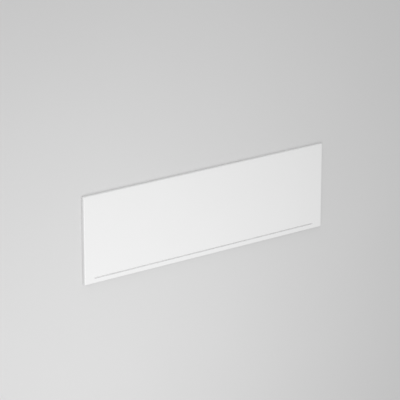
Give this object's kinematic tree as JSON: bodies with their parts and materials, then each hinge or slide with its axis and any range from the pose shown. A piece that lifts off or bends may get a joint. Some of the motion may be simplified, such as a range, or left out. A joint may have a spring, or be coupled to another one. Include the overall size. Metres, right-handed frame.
{
  "type": "bath panel",
  "caption": "Front bath panel: a long shallow white tray with rounded returns and a narrow groove along its foot, set under a bath's rim to close off the frame.",
  "frame": {"origin": "middle of the plane of the trimmed edges, on which the panel lies", "axes": "+X along the panel from its left end to its right end as seen from the front, +Y from its foot to its top edge, +Z out of the show face"},
  "size_m": [1.7, 0.515, 0.02],
  "materials": {
    "acrylic": "gloss"
  },
  "bodies": {
    "root": {"bath_panel": "acrylic"}
  },
  "joints": []
}
